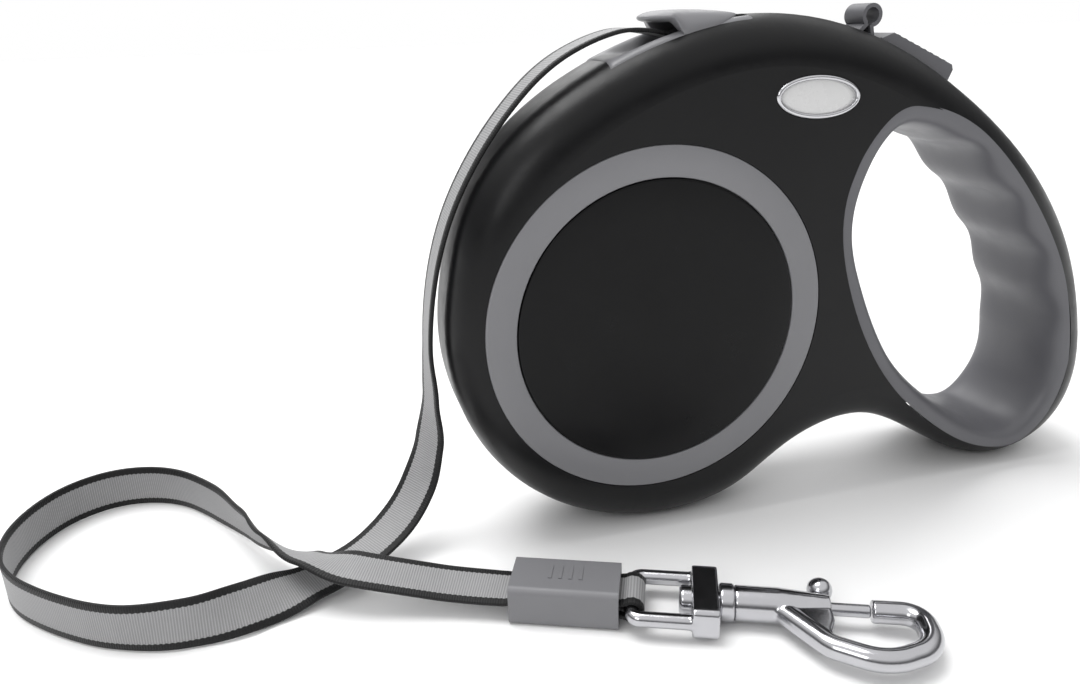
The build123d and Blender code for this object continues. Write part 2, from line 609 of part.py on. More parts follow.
# ---- write the nodes ----
def main():
    os.makedirs("parts", exist_ok=True)
    shell = casing()
    save("left_casing", shell & (Pos(0, -50, 60) * Box(400, 100, 300)))
    save("right_casing", shell & (Pos(0, 50, 60) * Box(400, 100, 300)))
    for s, name in ((-1, "left"), (1, "right")):
        near, far = sorted((s * HALF, s * (HALF - TRIM_T)))
        save(f"{name}_ring_trim", tube_y(REEL_X, REEL_Z, RING_OUT_R, RING_IN_R + TRIM_FIT, near, far))
        save(f"{name}_cover_disc", drum(REEL_X, REEL_Z, RING_IN_R, near, far))
    save("badge_bezel", side(badge_face(TRIM_FIT) - badge_face(BEZEL_W), -HALF, -HALF + BADGE_T))
    save("badge_plate", side(badge_face(BEZEL_W + TRIM_FIT), -HALF + 0.3, -HALF + BADGE_T))
    save("handle_grip", handle_grip())
    save("bag_loop", bag_loop())
    save("casing_screws", sum_shapes([screw(x, z) for x, z in SCREW_AT]))
    save("main_axle", drum(REEL_X, REEL_Z, AXLE_R, -FACE_IN, FACE_IN))
    save("axle_washers", sum_shapes([tube_y(REEL_X, REEL_Z, BUSH_R, AXLE_R, *sorted((s * BUSH_Y + s * 0.1,
                                     s * (BUSH_Y + WASHER_T)))) for s in (-1, 1)]))
    save("reel_drum", reel_drum())
    save("reel_flange", reel_flange())
    save("spring_cover", spring_cover())
    save("power_spring", power_spring())
    strand, outside = tape_strand()
    coil_r = coil_radius(outside)
    print("coil radius", round(coil_r, 2))
    save("tape_outlet", outlet(coil_r))
    save("guide_pins", guide_pins(coil_r))
    save("tape_strand", strand)
    save("wound_tape", tube_y(REEL_X, REEL_Z, coil_r, DRUM_R + RUNNING, -TAPE_W / 2, TAPE_W / 2))
    save("tape_feed", tape_feed(coil_r))
    save("brake_button", brake_button())
    save("brake_carrier", brake_carrier())
    save("button_spring", button_spring())
    save("brake_pawl", brake_pawl())
    save("pawl_pin", drum(*PAWL_PIVOT, PIVOT_R, PAWL_Y[0] - 0.4, FACE_IN))
    for name, make in (("tape_sleeve", tape_sleeve), ("tape_end_loop", tape_end_loop), ("swivel_frame", swivel_frame),
                       ("swivel_stud", swivel_stud), ("swivel_collar", swivel_collar), ("hook_body", hook_body),
                       ("trigger_bolt", trigger_bolt), ("bolt_spring", bolt_spring)):
        save(name, HOOK_PLACE * make())


def screw(x, z):
    return (drum(x, z, SCREW_HEAD_R, SCREW_HEAD_Y - SCREW_HEAD_T, SCREW_HEAD_Y)
            + drum(x, z, SCREW_R, SCREW_TIP_Y, SCREW_HEAD_Y - SCREW_HEAD_T))


def sum_shapes(shapes):
    whole = shapes[0]
    for shape in shapes[1:]:
        whole = whole + shape
    return whole


main()
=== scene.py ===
import math

import bmesh
import bpy
from mathutils import Matrix, Vector


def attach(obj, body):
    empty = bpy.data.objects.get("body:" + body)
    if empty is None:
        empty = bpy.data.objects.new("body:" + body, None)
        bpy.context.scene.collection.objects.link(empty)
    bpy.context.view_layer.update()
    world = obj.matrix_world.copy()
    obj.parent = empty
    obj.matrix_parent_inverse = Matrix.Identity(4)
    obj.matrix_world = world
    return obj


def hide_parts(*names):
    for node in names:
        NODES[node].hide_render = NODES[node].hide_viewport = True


bl_info = {
    "name": "Retractable Tape Leash",
    "version": (1, 0, 0),
    "blender": (4, 5, 0),
    "location": "View3D > Sidebar > Tape Leash",
    "description": "Builds the visible pieces and finishes of a retractable tape leash",
    "category": "Add Mesh",
}

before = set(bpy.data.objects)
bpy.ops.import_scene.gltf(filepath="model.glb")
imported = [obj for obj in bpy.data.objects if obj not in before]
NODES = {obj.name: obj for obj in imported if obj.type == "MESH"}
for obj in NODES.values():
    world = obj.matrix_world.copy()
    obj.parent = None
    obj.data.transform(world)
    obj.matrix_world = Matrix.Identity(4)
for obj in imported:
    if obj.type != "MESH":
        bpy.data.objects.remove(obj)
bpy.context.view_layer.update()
MM = 0.001

# The tape's route from the outlet's mouth to the sleeve, in metres.
ROUTE = [
    (-0.0365, 0, 0.1276), (-0.0465, 0, 0.1303), (-0.058, 0, 0.1278), (-0.0695, 0, 0.122),
    (-0.0795, 0, 0.1123), (-0.0885, 0, 0.1003), (-0.0954, 0, 0.0872), (-0.0998, 0, 0.0725),
    (-0.102, 0, 0.0565), (-0.1018, 0.0003, 0.041), (-0.103, -0.0002, 0.028), (-0.1072, -0.0015, 0.0166),
    (-0.114, -0.0055, 0.0089), (-0.1245, -0.012, 0.0046), (-0.1365, -0.0172, 0.0034),
    (-0.1498, -0.0252, 0.0054), (-0.1646, -0.0294, 0.0063), (-0.181, -0.026, 0.0063),
    (-0.1968, -0.0146, 0.0063), (-0.2086, -0.002, 0.0063), (-0.2129, 0.0125, 0.0063),
    (-0.2102, 0.0275, 0.0063), (-0.2025, 0.0395, 0.0063), (-0.1895, 0.0452, 0.0063),
    (-0.1742, 0.0408, 0.0063), (-0.162, 0.026, 0.0065), (-0.1525, 0.0082, 0.0072),
    (-0.1458, -0.0065, 0.0092), (-0.1376, -0.0166, 0.01), (-0.1272, -0.024, 0.0096),
    (-0.1145, -0.0284, 0.0072), (-0.10179, -0.03283, 0.005), (-0.09085, -0.0377, 0.005),
]
# Which way the tape's left edge points at each of those, where it turns.
EDGE_WAYS = [
    (0, (0, 1, 0)), (8, (0, 1, 0)), (9, (-0.15, 1, 0)), (10, (-0.45, 0.9, 0)), (11, (-0.6, 0.8, 0.05)),
    (12, (-0.6, 0.8, 0.1)), (13, (-0.48, 0.87, 0.1)), (14, (-0.42, 0.88, 0.22)), (15, (-0.2, 0.6, 0.78)),
    (16, (-0.05, 0.2, 0.98)), (17, (0, 0, 1)), (25, (0, 0, 1)), (26, (-0.2, -0.1, 0.97)),
    (27, (-0.45, -0.35, 0.8)), (28, (-0.71, -0.6, 0.35)), (29, (-0.45, -0.88, -0.1)),
    (30, (-0.37, -0.92, -0.1)), (31, (-0.38, -0.92, -0.1)), (32, (-0.41, -0.91, -0.03)),
]
# The edge of the handle's opening, in metres, as (x, z).
OPENING = [
    (0.024, 0.1092), (0.044, 0.1023), (0.0648, 0.0827), (0.081, 0.0578), (0.088, 0.03), (0.0826, 0.0136),
    (0.07, 0.0062), (0.0495, 0.0128), (0.0241, 0.0348), (0.0091, 0.0631), (0.0054, 0.083), (0.0122, 0.102),
]
FINGER_GROOVES = [(0.0845, 0.0475), (0.0762, 0.0665), (0.0638, 0.0838), (0.0483, 0.0985)]
REEL_AXIS = (-0.045, 0.059)
# The casing's top near the outlet: a point of its crown, the slope and bend there, and its rounded edge.
CROWN_X, CROWN_Z, CROWN_SLOPE, CROWN_BEND = -0.018, 0.13229, 0.0389, 5.811
FLAT_Y, EDGE_ROUND = 0.005, 0.012
OUTLET_FRONT, OUTLET_REAR, OUTLET_HALF = -0.0558, -0.0195, 0.0104
LIP_FRONT, LIP_REAR, LIP_TOP = -0.0436, -0.0215, 0.1337
HOOK_BAR = Vector((-0.0648, -0.0493, 0.005))
HOOK_WAY = math.radians(-24.0)
# Spacing of the tape's cross ribs, its threads and the stitches of its edges, in millimetres.
WEFT_PITCH, WARP_PITCH, EDGE_STITCH = 0.62, 0.42, 1.25
# The casing's half width, and the radii of the side ring and of the disc inside it.
CASING_HALF, RING_OUT, RING_IN, DISC_OUT = 0.017, 0.0450, 0.0373, 0.0370
SUNK = 0.0010
BADGE_CENTRE, BADGE_TILT = Vector((-0.0047, -0.017, 0.1128)), math.radians(-2.7)


# ---- finishes ----
def fresh_finish(name):
    old = bpy.data.materials.get(name)
    if old:
        bpy.data.materials.remove(old)
    mat = bpy.data.materials.new(name)
    mat.use_nodes = True
    nodes = mat.node_tree.nodes
    nodes.clear()
    out = nodes.new("ShaderNodeOutputMaterial")
    shader = nodes.new("ShaderNodeBsdfPrincipled")
    mat.node_tree.links.new(shader.outputs[0], out.inputs["Surface"])
    return mat, shader


def add(mat, kind, **settings):
    node = mat.node_tree.nodes.new(kind)
    for key, value in settings.items():
        if key in node.inputs:
            node.inputs[key].default_value = value
        else:
            setattr(node, key, value)
    return node


def join(mat, source, target):
    mat.node_tree.links.new(source, target)


def noise(mat, scale, detail=3.0, rough=0.5, vector=None):
    tex = add(mat, "ShaderNodeTexNoise", Scale=scale, Detail=detail, Roughness=rough)
    join(mat, vector or place(mat), tex.inputs["Vector"])
    return tex.outputs["Fac"]


def place(mat):
    return add(mat, "ShaderNodeTexCoord").outputs["Object"]


def ranged(mat, value, low, high, from_low=0.0, from_high=1.0):
    node = add(mat, "ShaderNodeMapRange")
    node.inputs["From Min"].default_value = from_low
    node.inputs["From Max"].default_value = from_high
    node.inputs["To Min"].default_value = low
    node.inputs["To Max"].default_value = high
    join(mat, value, node.inputs["Value"])
    return node.outputs["Result"]


def two_tone(mat, factor, first, second):
    mix = add(mat, "ShaderNodeMix", data_type="RGBA")
    mix.inputs["A"].default_value = (0, 0, 0, 1)
    mix.inputs[6].default_value = (*first, 1)
    mix.inputs[7].default_value = (*second, 1)
    join(mat, factor, mix.inputs["Factor"])
    return mix.outputs[2]


def maths(mat, operation, a, b=None, c=None):
    node = add(mat, "ShaderNodeMath", operation=operation)
    for k, value in enumerate((a, b, c)):
        if value is None:
            continue
        if isinstance(value, (int, float)):
            node.inputs[k].default_value = value
        else:
            join(mat, value, node.inputs[k])
    return node.outputs[0]


def wave(mat, value, pitch):
    """A sine wave along a distance in millimetres."""
    return maths(mat, "SINE", maths(mat, "MULTIPLY", value, 2 * math.pi / pitch))


def bump(mat, shader, height, strength, distance):
    node = add(mat, "ShaderNodeBump", Strength=strength, Distance=distance)
    join(mat, height, node.inputs["Height"])
    join(mat, node.outputs[0], shader.inputs["Normal"])


def moulded(name, colour, rough, grain=900.0, grain_depth=0.00004, spread=0.12, coat=0.0, specular=0.5):
    """Moulded plastic or rubber: cloudy colour, fine grain, worn patches that shine a little more."""
    mat, shader = fresh_finish(name)
    colour = tuple(colour)[:3]
    cloud = noise(mat, 35.0, 4.0, 0.6)
    join(mat, two_tone(mat, cloud, [c * (1 - spread) for c in colour], [c * (1 + spread) for c in colour]),
         shader.inputs["Base Color"])
    patch = noise(mat, 90.0, 5.0, 0.65)
    join(mat, ranged(mat, patch, rough - 0.06, rough + 0.07, 0.3, 0.7), shader.inputs["Roughness"])
    bump(mat, shader, noise(mat, grain, 2.0, 0.5), 0.35, grain_depth)
    shader.inputs["Coat Weight"].default_value = coat
    shader.inputs["Coat Roughness"].default_value = 0.3
    shader.inputs["Specular IOR Level"].default_value = specular
    return mat


def metal(name, colour, rough, streak=0.05):
    """Polished cast metal: soft mottling, spots of differing roughness and a fine noise bump."""
    mat, shader = fresh_finish(name)
    colour = tuple(colour)[:3]
    shader.inputs["Metallic"].default_value = 1.0
    cloud = noise(mat, 160.0, 4.0, 0.6)
    join(mat, two_tone(mat, cloud, [c * 0.93 for c in colour], [min(1, c * 1.05) for c in colour]),
         shader.inputs["Base Color"])
    spot = noise(mat, 420.0, 5.0, 0.7)
    join(mat, ranged(mat, spot, rough - streak, rough + streak, 0.3, 0.7), shader.inputs["Roughness"])
    bump(mat, shader, noise(mat, 700.0, 3.0, 0.6), 0.25, 0.00003)
    return mat


def woven(name, centre, edge, width=0.012, binding=0.0019):
    """Flat woven tape: cross ribs and fine warp threads, with dark ribbed edges; its colour carries painted
    shade in the rib grooves and painted highlight on the rib crests.
    """
    mat, shader = fresh_finish(name)
    uv = add(mat, "ShaderNodeUVMap", uv_map="UVMap")
    split = add(mat, "ShaderNodeSeparateXYZ")
    join(mat, uv.outputs[0], split.inputs[0])
    along, across = split.outputs[0], split.outputs[1]
    weft = wave(mat, along, WEFT_PITCH)
    warp = wave(mat, across, WARP_PITCH)
    wobble = noise(mat, 260.0, 3.0, 0.6)
    half = width / MM / 2
    away = maths(mat, "ABSOLUTE", maths(mat, "SUBTRACT", across, half))
    jag = maths(mat, "MULTIPLY", wave(mat, along, EDGE_STITCH), 0.09)
    dark = add(mat, "ShaderNodeMapRange")
    dark.inputs["From Min"].default_value = half - binding / MM - 0.06
    dark.inputs["From Max"].default_value = half - binding / MM + 0.06
    join(mat, maths(mat, "ADD", away, jag), dark.inputs["Value"])
    rib = ranged(mat, weft, 0.0, 1.0, -1.0, 1.0)
    thread = ranged(mat, maths(mat, "MULTIPLY", weft, warp), 0.0, 1.0, -1.0, 1.0)
    # Painted shade and highlight: the colour follows the rib and thread relief of the bump, darker in the
    # grooves and lighter on the crests; the wobble noise adds random tone.
    shade = maths(mat, "ADD", maths(mat, "MULTIPLY", rib, 0.55), maths(mat, "MULTIPLY", thread, 0.3))
    shade = maths(mat, "ADD", shade, maths(mat, "MULTIPLY", wobble, 0.2))
    body = two_tone(mat, shade, [c * 0.6 for c in centre], [min(1, c * 1.3) for c in centre])
    # The dark edges get the same painted shade in the grooves and painted highlight on the crests.
    rim = two_tone(mat, shade, [c * 0.6 for c in edge], [c * 1.5 for c in edge])
    mix = add(mat, "ShaderNodeMix", data_type="RGBA")
    join(mat, dark.outputs[0], mix.inputs["Factor"])
    join(mat, body, mix.inputs[6])
    join(mat, rim, mix.inputs[7])
    join(mat, mix.outputs[2], shader.inputs["Base Color"])
    join(mat, ranged(mat, wobble, 0.45, 0.62), shader.inputs["Roughness"])
    height = maths(mat, "ADD", maths(mat, "MULTIPLY", rib, 0.7), maths(mat, "MULTIPLY", thread, 0.45))
    bump(mat, shader, height, 0.7, 0.00014)
    shader.inputs["Sheen Weight"].default_value = 0.08
    shader.inputs["Sheen Roughness"].default_value = 0.4
    shader.inputs["Specular IOR Level"].default_value = 0.35
    return mat


# ---- shapes ----
def new_piece(name, verts, faces, finish, body, smooth=True):
    mesh = bpy.data.meshes.new(name)
    mesh.from_pydata([tuple(v) for v in verts], [], faces)
    mesh.validate()
    mesh.update()
    for poly in mesh.polygons:
        poly.use_smooth = smooth
    obj = bpy.data.objects.new(name, mesh)
    bpy.context.scene.collection.objects.link(obj)
    mesh.materials.append(finish)
    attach(obj, body)
    return obj


def weld_normals(obj):
    bm = bmesh.new()
    bm.from_mesh(obj.data)
    bmesh.ops.remove_doubles(bm, verts=bm.verts, dist=1e-6)
    bmesh.ops.recalc_face_normals(bm, faces=bm.faces)
    bm.to_mesh(obj.data)
    bm.free()


def round_edges(obj, size, segments=3, angle=35.0):
    mod = obj.modifiers.new("round edges", "BEVEL")
    mod.width = size
    mod.segments = segments
    mod.limit_method = "ANGLE"
    mod.angle_limit = math.radians(angle)
    mod.harden_normals = False
    return mod


def loop_curve(points, count):
    """Points of a smooth closed curve through the given (x, z) points, evenly along it."""
    n = len(points)
    fine = []
    for k in range(n):
        p0, p1, p2, p3 = (Vector(points[(k + j) % n]) for j in (-1, 0, 1, 2))
        for step in range(40):
            t = step / 40
            fine.append(0.5 * ((2 * p1) + (p2 - p0) * t + (2 * p0 - 5 * p1 + 4 * p2 - p3) * t ** 2
                               + (3 * p1 - p0 - 3 * p2 + p3) * t ** 3))
    lengths = [0.0]
    for a, b in zip(fine, fine[1:] + fine[:1]):
        lengths.append(lengths[-1] + (b - a).length)
    total = lengths[-1]
    result, j = [], 0
    for k in range(count):
        want = total * k / count
        while lengths[j + 1] < want:
            j += 1
        span = lengths[j + 1] - lengths[j]
        a, b = fine[j], fine[(j + 1) % len(fine)]
        result.append(a + (b - a) * ((want - lengths[j]) / span))
    return result


def outward(points, k):
    """Direction out of a clockwise loop at one of its points."""
    n = len(points)
    t = (points[(k + 1) % n] - points[k - 1]).normalized()
    return Vector((-t.y, t.x))


def lathe(name, profile, finish, body, turns=128):
    """A ring about the reel's axis from (radius, y) points."""
    verts, faces = [], []
    m = len(profile)
    for k in range(turns):
        a = 2 * math.pi * k / turns
        for r, y in profile:
            verts.append((REEL_AXIS[0] + r * math.cos(a), y, REEL_AXIS[1] + r * math.sin(a)))
    for k in range(turns):
        for j in range(m - 1):
            a, b = k * m + j, ((k + 1) % turns) * m + j
            faces.append((a, a + 1, b + 1, b))
    return new_piece(name, verts, faces, finish, body)


def hook_place():
    return Matrix.Translation(HOOK_BAR) @ Matrix.Rotation(HOOK_WAY, 4, "Z")


# ---- settings ----
class LeashSettings(bpy.types.PropertyGroup):
    casing_colour: bpy.props.FloatVectorProperty(
        name="Casing", description="Colour of the casing halves", subtype="COLOR", size=3,
        default=(0.0042, 0.0042, 0.0047), min=0, max=1)
    disc_colour: bpy.props.FloatVectorProperty(
        name="Cover disc", description="Colour of the round side covers", subtype="COLOR", size=3,
        default=(0.0022, 0.0022, 0.0026), min=0, max=1)
    trim_colour: bpy.props.FloatVectorProperty(
        name="Trim", description="Colour of the side rings, outlet and sleeve", subtype="COLOR", size=3,
        default=(0.18, 0.18, 0.19), min=0, max=1)
    grip_colour: bpy.props.FloatVectorProperty(
        name="Grip", description="Colour of the handle liner", subtype="COLOR", size=3,
        default=(0.105, 0.105, 0.115), min=0, max=1)
    steel_colour: bpy.props.FloatVectorProperty(
        name="Hook metal", description="Colour of the swivel hook", subtype="COLOR", size=3,
        default=(0.5, 0.5, 0.52), min=0, max=1)
    tape_colour: bpy.props.FloatVectorProperty(
        name="Tape", description="Colour of the middle of the tape", subtype="COLOR", size=3,
        default=(0.3, 0.3, 0.305), min=0, max=1)
    binding_colour: bpy.props.FloatVectorProperty(
        name="Tape edges", description="Colour of the tape's edges", subtype="COLOR", size=3,
        default=(0.003, 0.003, 0.0035), min=0, max=1)
    tape_width: bpy.props.FloatProperty(
        name="Tape width", description="Width of the tape", default=0.012, min=0.008, max=0.02,
        unit="LENGTH")
    tape_thickness: bpy.props.FloatProperty(
        name="Tape thickness", description="Thickness of the tape", default=0.0010, min=0.0005, max=0.002,
        unit="LENGTH")
    grip_crest: bpy.props.FloatProperty(
        name="Grip crest", description="How far the liner stands into the handle opening", default=0.0064,
        min=0.002, max=0.01, unit="LENGTH")


def settings():
    return bpy.context.scene.leash_settings


# ---- pieces ----
class LEASH_OT_casing(bpy.types.Operator):
    """Finish the casing halves, screws and everything inside"""
    bl_idname = "leash.casing"
    bl_label = "Casing"

    def execute(self, context):
        s = settings()
        body = moulded("soft_touch_casing", s.casing_colour, 0.34, grain=2600.0, grain_depth=0.00002,
                       spread=0.08, specular=0.22)
        inner = moulded("inner_mouldings", (0.42, 0.42, 0.4), 0.45)
        steel = metal("inner_steel", (0.5, 0.5, 0.52), 0.3)
        tape = moulded("wound_tape_cloth", s.tape_colour, 0.7, grain=1500.0, grain_depth=0.0001)
        for node, finish in (("left_casing", body), ("right_casing", body), ("casing_screws", steel),
                             ("main_axle", steel), ("axle_washers", steel), ("power_spring", steel),
                             ("guide_pins", steel), ("pawl_pin", steel), ("button_spring", steel),
                             ("bolt_spring", steel), ("reel_drum", inner), ("reel_flange", inner),
                             ("spring_cover", inner), ("brake_carrier", inner), ("brake_pawl", inner),
                             ("wound_tape", tape), ("tape_feed", tape)):
            repaint(NODES[node], finish)
        return {"FINISHED"}


def repaint(obj, finish):
    obj.data.materials.clear()
    obj.data.materials.append(finish)


class LEASH_OT_side_covers(bpy.types.Operator):
    """Make the round side rings and cover discs"""
    bl_idname = "leash.side_covers"
    bl_label = "Side covers"

    def execute(self, context):
        s = settings()
        ring = moulded("ring_trim_plastic", s.trim_colour, 0.42, grain=2200.0, grain_depth=0.00002,
                       spread=0.05)
        disc = moulded("cover_disc_plastic", s.disc_colour, 0.32, grain=2400.0, grain_depth=0.00002,
                       spread=0.06, specular=0.18)
        for side, word in ((-1, "left"), (1, "right")):
            face = CASING_HALF * side
            back = (CASING_HALF - SUNK) * side
            soft = 0.0003 * side
            profile = [(RING_OUT, back), (RING_OUT, face - soft), (RING_OUT - 0.0001, face - soft * 0.3),
                       (RING_OUT - 0.0003, face), (RING_IN + 0.0003, face),
                       (RING_IN + 0.0001, face - soft * 0.3), (RING_IN, face - soft), (RING_IN, back)]
            piece = lathe(f"{word}_ring", profile, ring, "casing")
            weld_normals(piece)
            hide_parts(f"{word}_ring_trim")
            profile = [(DISC_OUT, back), (DISC_OUT, face - soft), (DISC_OUT - 0.0001, face - soft * 0.3),
                       (DISC_OUT - 0.0004, face - soft * 0.1), (0.028, face - soft * 0.6),
                       (0.015, face - soft), (0.0001, face - soft * 1.1)]
            piece = lathe(f"{word}_disc", profile, disc, "casing")
            weld_normals(piece)
            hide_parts(f"{word}_cover_disc")
        return {"FINISHED"}


class LEASH_OT_badge(bpy.types.Operator):
    """Make the blank oval badge and its bright bezel"""
    bl_idname = "leash.badge"
    bl_label = "Badge"

    def execute(self, context):
        bezel = metal("badge_bezel_bright", (0.55, 0.55, 0.57), 0.14, 0.03)
        plate = moulded("badge_plate_gloss", (0.6, 0.6, 0.6), 0.25, grain=3000.0, spread=0.03, coat=0.5)
        repaint(NODES["badge_bezel"], bezel)
        repaint(NODES["badge_plate"], plate)
        rings = [(1.0, 0.0004), (0.985, -0.0001), (0.96, -0.00035), (0.93, -0.00045), (0.90, -0.00035),
                 (0.88, 0.0), (0.875, 0.0006)]
        self.oval("badge_rim", [(0.0116, 0.0053, f, y) for f, y in rings], bezel, "badge_bezel")
        dome = [(1.0, 0.0006), (1.0, 0.0002), (0.8, 0.0), (0.5, -0.00015), (0.2, -0.0002), (0.002, -0.0002)]
        self.oval("badge_face", [(0.0103, 0.0045, f, y) for f, y in dome], plate, "badge_plate")
        return {"FINISHED"}

    def oval(self, name, rings, finish, node):
        """Nested ovals; the outer ones keep an even border, the inner ones shrink towards the middle."""
        centre, tilt = BADGE_CENTRE, BADGE_TILT
        verts, faces, n = [], [], 96
        for a, b, f, y in rings:
            for k in range(n):
                t = 2 * math.pi * k / n
                inset = (1 - f) * 0.0105
                x = (a - inset if f > 0.86 else a * f) * math.cos(t)
                z = (b - inset if f > 0.86 else b * f) * math.sin(t)
                verts.append((centre.x + x * math.cos(tilt) - z * math.sin(tilt), centre.y + y,
                              centre.z + x * math.sin(tilt) + z * math.cos(tilt)))
        for j in range(len(rings) - 1):
            for k in range(n):
                faces.append((j * n + k, j * n + (k + 1) % n, (j + 1) * n + (k + 1) % n, (j + 1) * n + k))
        piece = new_piece(name, verts, faces, finish, "casing")
        weld_normals(piece)
        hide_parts(node)


class LEASH_OT_grip(bpy.types.Operator):
    """Make the rounded handle liner with its finger grooves"""
    bl_idname = "leash.grip"
    bl_label = "Handle grip"

    def execute(self, context):
        s = settings()
        finish = moulded("grip_rubber", s.grip_colour, 0.44, grain=2400.0, grain_depth=0.00002, spread=0.05)
        rows, count, half = 24, 360, 0.0168
        rim = loop_curve(OPENING, count)
        verts, faces = [], []
        for k, p in enumerate(rim):
            n = outward(rim, k)
            dip = 0.0
            for x, z in FINGER_GROOVES:
                away = (p - Vector((x, z))).length / 0.0105
                if away < 1:
                    dip += 0.0021 * (1 + math.cos(math.pi * away)) / 2
            for j in range(rows + 1):
                a = math.pi * j / rows
                rise = math.sin(a) ** 0.5
                y = -half * math.cos(a)
                crest = (s.grip_crest - dip) * rise
                q = p - n * (crest - 0.0001)
                verts.append((q.x, y, q.y))
        m = rows + 1
        for k in range(count):
            for j in range(rows):
                a, b = k * m + j, ((k + 1) % count) * m + j
                faces.append((a, a + 1, b + 1, b))
        piece = new_piece("grip_liner", verts, faces, finish, "casing")
        weld_normals(piece)
        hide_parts("handle_grip")
        return {"FINISHED"}


class LEASH_OT_top_fittings(bpy.types.Operator):
    """Finish the tape outlet, bag loop and brake button"""
    bl_idname = "leash.top_fittings"
    bl_label = "Outlet, loop and button"

    def execute(self, context):
        s = settings()
        trim = moulded("outlet_plastic", s.trim_colour, 0.4, grain=2200.0, grain_depth=0.00002, spread=0.05)
        rubber = moulded("button_rubber", s.grip_colour, 0.46, grain=2000.0, grain_depth=0.00003,
                         spread=0.06)
        for node in ("bag_loop", "brake_button"):
            repaint(NODES[node], rubber)
            round_edges(NODES[node], 0.0003)
        repaint(NODES["tape_outlet"], trim)
        outlet = closed_loft("outlet", scoop_sections() + [None] + lip_sections(), trim, "casing")
        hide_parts("tape_outlet")
        return {"FINISHED"}


def casing_top(x, y):
    """Height of the casing's skin near the outlet, in metres."""
    back = x - CROWN_X
    drop = EDGE_ROUND - math.sqrt(EDGE_ROUND ** 2 - max(0.0, abs(y) - FLAT_Y) ** 2)
    return CROWN_Z + CROWN_SLOPE * back - CROWN_BEND * back * back - drop


def eased(value, low, high):
    f = max(0.0, min(1.0, (value - low) / (high - low)))
    return f * f * (3 - 2 * f)


def scoop_sections(steps=44, across=36):
    """Loops across a thin patch on the casing, hollowed along its middle down into the mouth."""
    loops = []
    for i in range(steps + 1):
        x = OUTLET_FRONT + (OUTLET_REAR - OUTLET_FRONT) * i / steps
        deep = 0.0034 * eased(x, OUTLET_FRONT, -0.043) + 0.005 * eased(x, -0.0435, -0.037)
        top = []
        for j in range(across + 1):
            y = OUTLET_HALF * (2 * j / across - 1)
            rim = min(x - OUTLET_FRONT, OUTLET_REAR - x, OUTLET_HALF - abs(y))
            lift = 0.0004 * math.sqrt(min(1.0, max(0.0, rim) / 0.0009)) - 0.0001
            hollow = deep * (1 - eased(abs(y), 0.0048, 0.0086))
            top.append((x, y, casing_top(x, y) + lift - hollow))
        under = [(x, y, z - 0.0012) for x, y, z in reversed(top)]
        loops.append(top + under)
    return loops


def lip_sections(steps=44, across=36):
    """Loops across the rounded lip over the mouth, whose two sides come down to the casing."""
    loops = []
    for i in range(steps + 1):
        turn = math.pi * (0.03 + 0.94 * i / steps)
        x = (LIP_FRONT + LIP_REAR) / 2 - (LIP_REAR - LIP_FRONT) / 2 * math.cos(turn)
        front = math.sqrt(max(0.02, 1 - (max(0.0, LIP_FRONT + 0.0052 - x) / 0.0052) ** 2))
        rear = math.sqrt(max(0.02, 1 - (max(0.0, x - LIP_REAR + 0.009) / 0.009) ** 2))
        half = OUTLET_HALF * front ** 0.7 * rear ** 0.6
        crest = LIP_TOP - 5.5 * (x + 0.036) ** 2
        thick = 0.00145 * front
        mid = crest - 0.00145
        close = eased(x, -0.0405, -0.0365)
        top, under = [], []
        for j in range(across + 1):
            y = half * math.sin(math.pi / 2 * (2 * j / across - 1))
            bow = math.sqrt(max(0.0, 1 - (abs(y) / half) ** 3.2))
            side = casing_top(x, y) + 0.0002
            edge = mid + (side - mid) * close
            top.append((x, y, edge + (mid + thick - edge) * bow))
            low = mid - 0.9 * thick * bow
            cheek = eased(abs(y), 0.0066, 0.0074)
            under.append((x, y, low + (min(low, side - 0.001) - low) * close * cheek - 0.00005))
        loops.append(top + under[::-1])
    return loops


def closed_loft(name, loops, finish, body):
    """Skin over rows of loops, closed at both ends; a None starts a new shell."""
    verts, faces, start = [], [], None
    for loop in loops:
        if loop is None:
            faces.append(tuple(range(start, start + n)))
            start = None
            continue
        n = len(loop)
        here = len(verts)
        verts += loop
        if start is None:
            faces.append(tuple(reversed(range(here, here + n))))
        else:
            for j in range(n):
                i = (j + 1) % n
                faces.append((start + j, start + i, here + i, here + j))
        start = here
    faces.append(tuple(range(start, start + n)))
    piece = new_piece(name, verts, faces, finish, body)
    weld_normals(piece)
    return piece


def route_points(steps=14):
    """Points along the tape's smooth line, from a NURBS curve with the route as control points."""
    curve = bpy.data.curves.new("tape_line", "CURVE")
    curve.dimensions = "3D"
    spline = curve.splines.new("NURBS")
    spline.points.add(len(ROUTE) - 1)
    for point, at in zip(spline.points, ROUTE):
        point.co = (*at, 1)
    spline.order_u = 3
    spline.use_endpoint_u = True
    spline.resolution_u = steps
    line = bpy.data.objects.new("tape_line", curve)
    mesh = bpy.data.meshes.new_from_object(line)
    points = [v.co.copy() for v in mesh.vertices]
    bpy.data.objects.remove(line)
    bpy.data.curves.remove(curve)
    bpy.data.meshes.remove(mesh)
    return points


def edge_way(t):
    """Direction of the tape's left edge at a place along the route, counted in control points."""
    for (a, va), (b, vb) in zip(EDGE_WAYS, EDGE_WAYS[1:]):
        if t <= b:
            f = max(0.0, min(1.0, (t - a) / (b - a)))
            f = f * f * (3 - 2 * f) if b - a <= 1 else f
            return Vector(va).lerp(Vector(vb), f)
    return Vector(EDGE_WAYS[-1][1])


